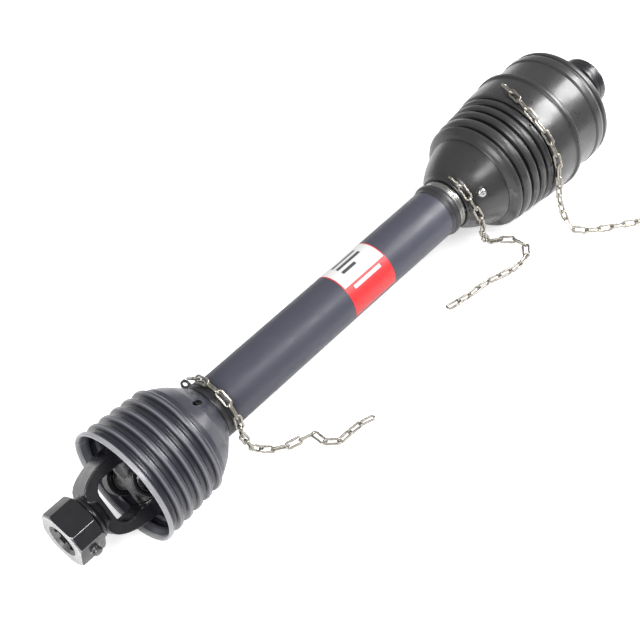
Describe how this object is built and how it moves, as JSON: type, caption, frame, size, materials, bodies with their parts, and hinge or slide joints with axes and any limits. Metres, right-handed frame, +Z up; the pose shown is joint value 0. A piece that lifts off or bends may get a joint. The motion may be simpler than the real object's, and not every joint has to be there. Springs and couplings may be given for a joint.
{
  "type": "universal joint shaft",
  "caption": "Guarded telescoping drive shaft with a single universal joint at one end, a wide-angle double joint at the other, plastic guards and restraint chains.",
  "frame": {"origin": "centre of the bounding box at its lowest point, where the guard and the chains lie on the ground", "axes": "+X along the shaft from the implement end to the tractor end, +Z up, +Y to the side away from the chains; the shaft axis is level, 92.0 mm above the lowest point and 49.6 mm to +Y"},
  "size_m": [1.011, 0.2832, 0.1902],
  "materials": {
    "black_paint": "semi-gloss paint",
    "steel": "machined",
    "tube_steel": "drawn",
    "zinc": "zinc plated",
    "guard_blue": "satin moulding",
    "guard_black": "glossy moulding",
    "bearing_plastic": "plain nylon"
  },
  "bodies": {
    "drive_outer": {"implement_tube_yoke": "black_paint", "implement_tube_yoke_cup_1": "steel", "implement_tube_yoke_cup_2": "steel", "outer_drive_tube": "tube_steel", "implement_roll_pin": "steel"},
    "implement_cross_body": {"implement_cross": "steel", "implement_cross_grease_nipple": "zinc"},
    "implement_yoke_body": {"implement_yoke": "black_paint", "implement_yoke_cup_1": "steel", "implement_yoke_cup_2": "steel"},
    "implement_push_pin_body": {"implement_push_pin": "steel"},
    "guard_outer": {"implement_guard_cone": "guard_blue", "implement_guard_collar": "guard_black", "implement_guard_bearing": "bearing_plastic", "guard_outer_tube": "guard_blue", "guard_tube_end_ring": "guard_black", "implement_chain_loop": "zinc"},
    "implement_chain_body": {"implement_chain_run": "zinc"},
    "drive_inner": {"inner_drive_tube": "tube_steel", "cv_roll_pin": "steel", "cv_tube_yoke": "black_paint", "cv_tube_yoke_cup_1": "steel", "cv_tube_yoke_cup_2": "steel"},
    "guard_inner": {"guard_inner_tube": "guard_blue", "cv_guard_collar": "zinc", "cv_guard_bearing": "bearing_plastic", "cv_guard_base": "guard_black", "cv_guard_screw": "zinc", "collar_chain_loop": "zinc"},
    "collar_chain_body": {"collar_chain_run": "zinc"},
    "bellows_1": {"cv_guard_bellows_1": "guard_black"},
    "bellows_2": {"cv_guard_bellows_2": "guard_black"},
    "bellows_3": {"cv_guard_bellows_3": "guard_black"},
    "bellows_4": {"cv_guard_bellows_4": "guard_black"},
    "cv_inner_cross_body": {"cv_inner_cross": "steel", "cv_inner_cross_grease_nipple": "zinc"},
    "cv_housing": {"cv_centre_housing": "black_paint", "cv_housing_cup_a1": "steel", "cv_housing_cup_a2": "steel", "cv_housing_cup_b1": "steel", "cv_housing_cup_b2": "steel"},
    "cv_bell": {"cv_guard_bell": "guard_black", "cv_bell_bearing": "bearing_plastic", "band_chain_loop": "zinc"},
    "band_chain_body": {"band_chain_run": "zinc"},
    "cv_outer_cross_body": {"cv_outer_cross": "steel", "cv_outer_cross_grease_nipple": "zinc"},
    "tractor_yoke_body": {"tractor_yoke": "black_paint", "tractor_yoke_cup_1": "steel", "tractor_yoke_cup_2": "steel", "collar_retaining_ring": "steel", "quick_release_spring": "steel"},
    "quick_release_body": {"quick_release_collar": "black_paint"}
  },
  "joints": [
    {"name": "implement_bend_a", "type": "hinge", "parent": "drive_outer", "child": "implement_cross_body", "pos_m": [-0.3955, 0.04961, 0.092], "axis": [0, -0.682, 0.7314], "range_deg": [-25, 25]},
    {"name": "implement_bend_b", "type": "hinge", "parent": "implement_cross_body", "child": "implement_yoke_body", "pos_m": [-0.3955, 0.04961, 0.092], "axis": [0, 0.7314, 0.682], "range_deg": [-25, 25]},
    {"name": "push_pin_press", "type": "slide", "parent": "implement_yoke_body", "child": "implement_push_pin_body", "axis": [0, -0.9945, -0.1045], "range_m": [-0.006, 0]},
    {"name": "guard_spin", "type": "hinge", "parent": "drive_outer", "child": "guard_outer", "pos_m": [-0.0815, 0.04961, 0.092], "axis": [1, 0, 0], "continuous": true},
    {"name": "implement_chain_swing", "type": "hinge", "parent": "guard_outer", "child": "implement_chain_body", "pos_m": [-0.2595, 0.00311, 0.058], "axis": [1, 0, 0], "range_deg": [-40, 0], "deforming": ["implement_chain_run"]},
    {"name": "drive_telescope", "type": "slide", "parent": "drive_outer", "child": "drive_inner", "axis": [1, 0, 0], "range_m": [0, 0.3]},
    {"name": "guard_inner_spin", "type": "hinge", "parent": "drive_inner", "child": "guard_inner", "pos_m": [-0.0815, 0.04961, 0.092], "axis": [1, 0, 0], "continuous": true},
    {"name": "collar_chain_swing", "type": "hinge", "parent": "guard_inner", "child": "collar_chain_body", "pos_m": [0.1945, -0.00439, 0.058], "axis": [1, 0, 0], "range_deg": [-40, 0], "deforming": ["collar_chain_run"]},
    {"name": "cv_bend_a", "type": "hinge", "parent": "drive_inner", "child": "cv_inner_cross_body", "pos_m": [0.3335, 0.04961, 0.092], "axis": [0, -0.682, 0.7314], "range_deg": [-20, 20]},
    {"name": "cv_bend_b", "type": "hinge", "parent": "cv_inner_cross_body", "child": "cv_housing", "pos_m": [0.3335, 0.04961, 0.092], "axis": [0, 0.7314, 0.682], "range_deg": [-20, 20]},
    {"name": "cv_outer_bend_b", "type": "hinge", "parent": "cv_housing", "child": "cv_outer_cross_body", "pos_m": [0.4185, 0.04961, 0.092], "axis": [0, 0.7314, 0.682], "range_deg": [-20, 20]},
    {"name": "cv_outer_bend_a", "type": "hinge", "parent": "cv_outer_cross_body", "child": "tractor_yoke_body", "pos_m": [0.4185, 0.04961, 0.092], "axis": [0, -0.682, 0.7314], "range_deg": [-20, 20]},
    {"name": "cv_bell_spin", "type": "hinge", "parent": "cv_housing", "child": "cv_bell", "pos_m": [0.3785, 0.04961, 0.092], "axis": [1, 0, 0], "continuous": true},
    {"name": "band_chain_swing", "type": "hinge", "parent": "cv_bell", "child": "band_chain_body", "pos_m": [0.3125, -0.04539, 0.066], "axis": [1, 0, 0], "range_deg": [-40, 0], "deforming": ["band_chain_run"]},
    {"name": "bellows_bend_1", "type": "hinge", "parent": "guard_inner", "child": "bellows_1", "pos_m": [0.3335, 0.04961, 0.092], "axis": [0, -0.682, 0.7314], "range_deg": [-10.5, 10.5], "deforming": ["cv_guard_bellows_1"]},
    {"name": "bellows_bend_2", "type": "hinge", "parent": "bellows_1", "child": "bellows_2", "pos_m": [0.3335, 0.04961, 0.092], "axis": [0, 0.7314, 0.682], "range_deg": [-10.5, 10.5], "deforming": ["cv_guard_bellows_2"]},
    {"name": "bellows_bend_3", "type": "hinge", "parent": "bellows_2", "child": "bellows_3", "pos_m": [0.3335, 0.04961, 0.092], "axis": [0, -0.682, 0.7314], "range_deg": [-10.5, 10.5], "deforming": ["cv_guard_bellows_3"]},
    {"name": "bellows_bend_4", "type": "hinge", "parent": "bellows_3", "child": "bellows_4", "pos_m": [0.3335, 0.04961, 0.092], "axis": [0, 0.7314, 0.682], "range_deg": [-10.5, 10.5], "deforming": ["cv_guard_bellows_4"]},
    {"name": "quick_release_pull", "type": "slide", "parent": "tractor_yoke_body", "child": "quick_release_body", "axis": [1, 0, 0], "range_m": [-0.008, 0], "deforming": ["quick_release_spring"]}
  ],
  "couplings": [
    {"joint": "guard_inner_spin", "follows": "guard_spin", "ratio": 1},
    {"joint": "cv_bell_spin", "follows": "guard_spin", "ratio": 1},
    {"joint": "cv_outer_bend_b", "follows": "cv_bend_b", "ratio": 1},
    {"joint": "cv_outer_bend_a", "follows": "cv_bend_a", "ratio": 1},
    {"joint": "bellows_bend_1", "follows": "cv_bend_a", "ratio": 0.5},
    {"joint": "bellows_bend_2", "follows": "cv_bend_b", "ratio": 0.5},
    {"joint": "bellows_bend_3", "follows": "cv_bend_a", "ratio": 0.5},
    {"joint": "bellows_bend_4", "follows": "cv_bend_b", "ratio": 0.5}
  ]
}
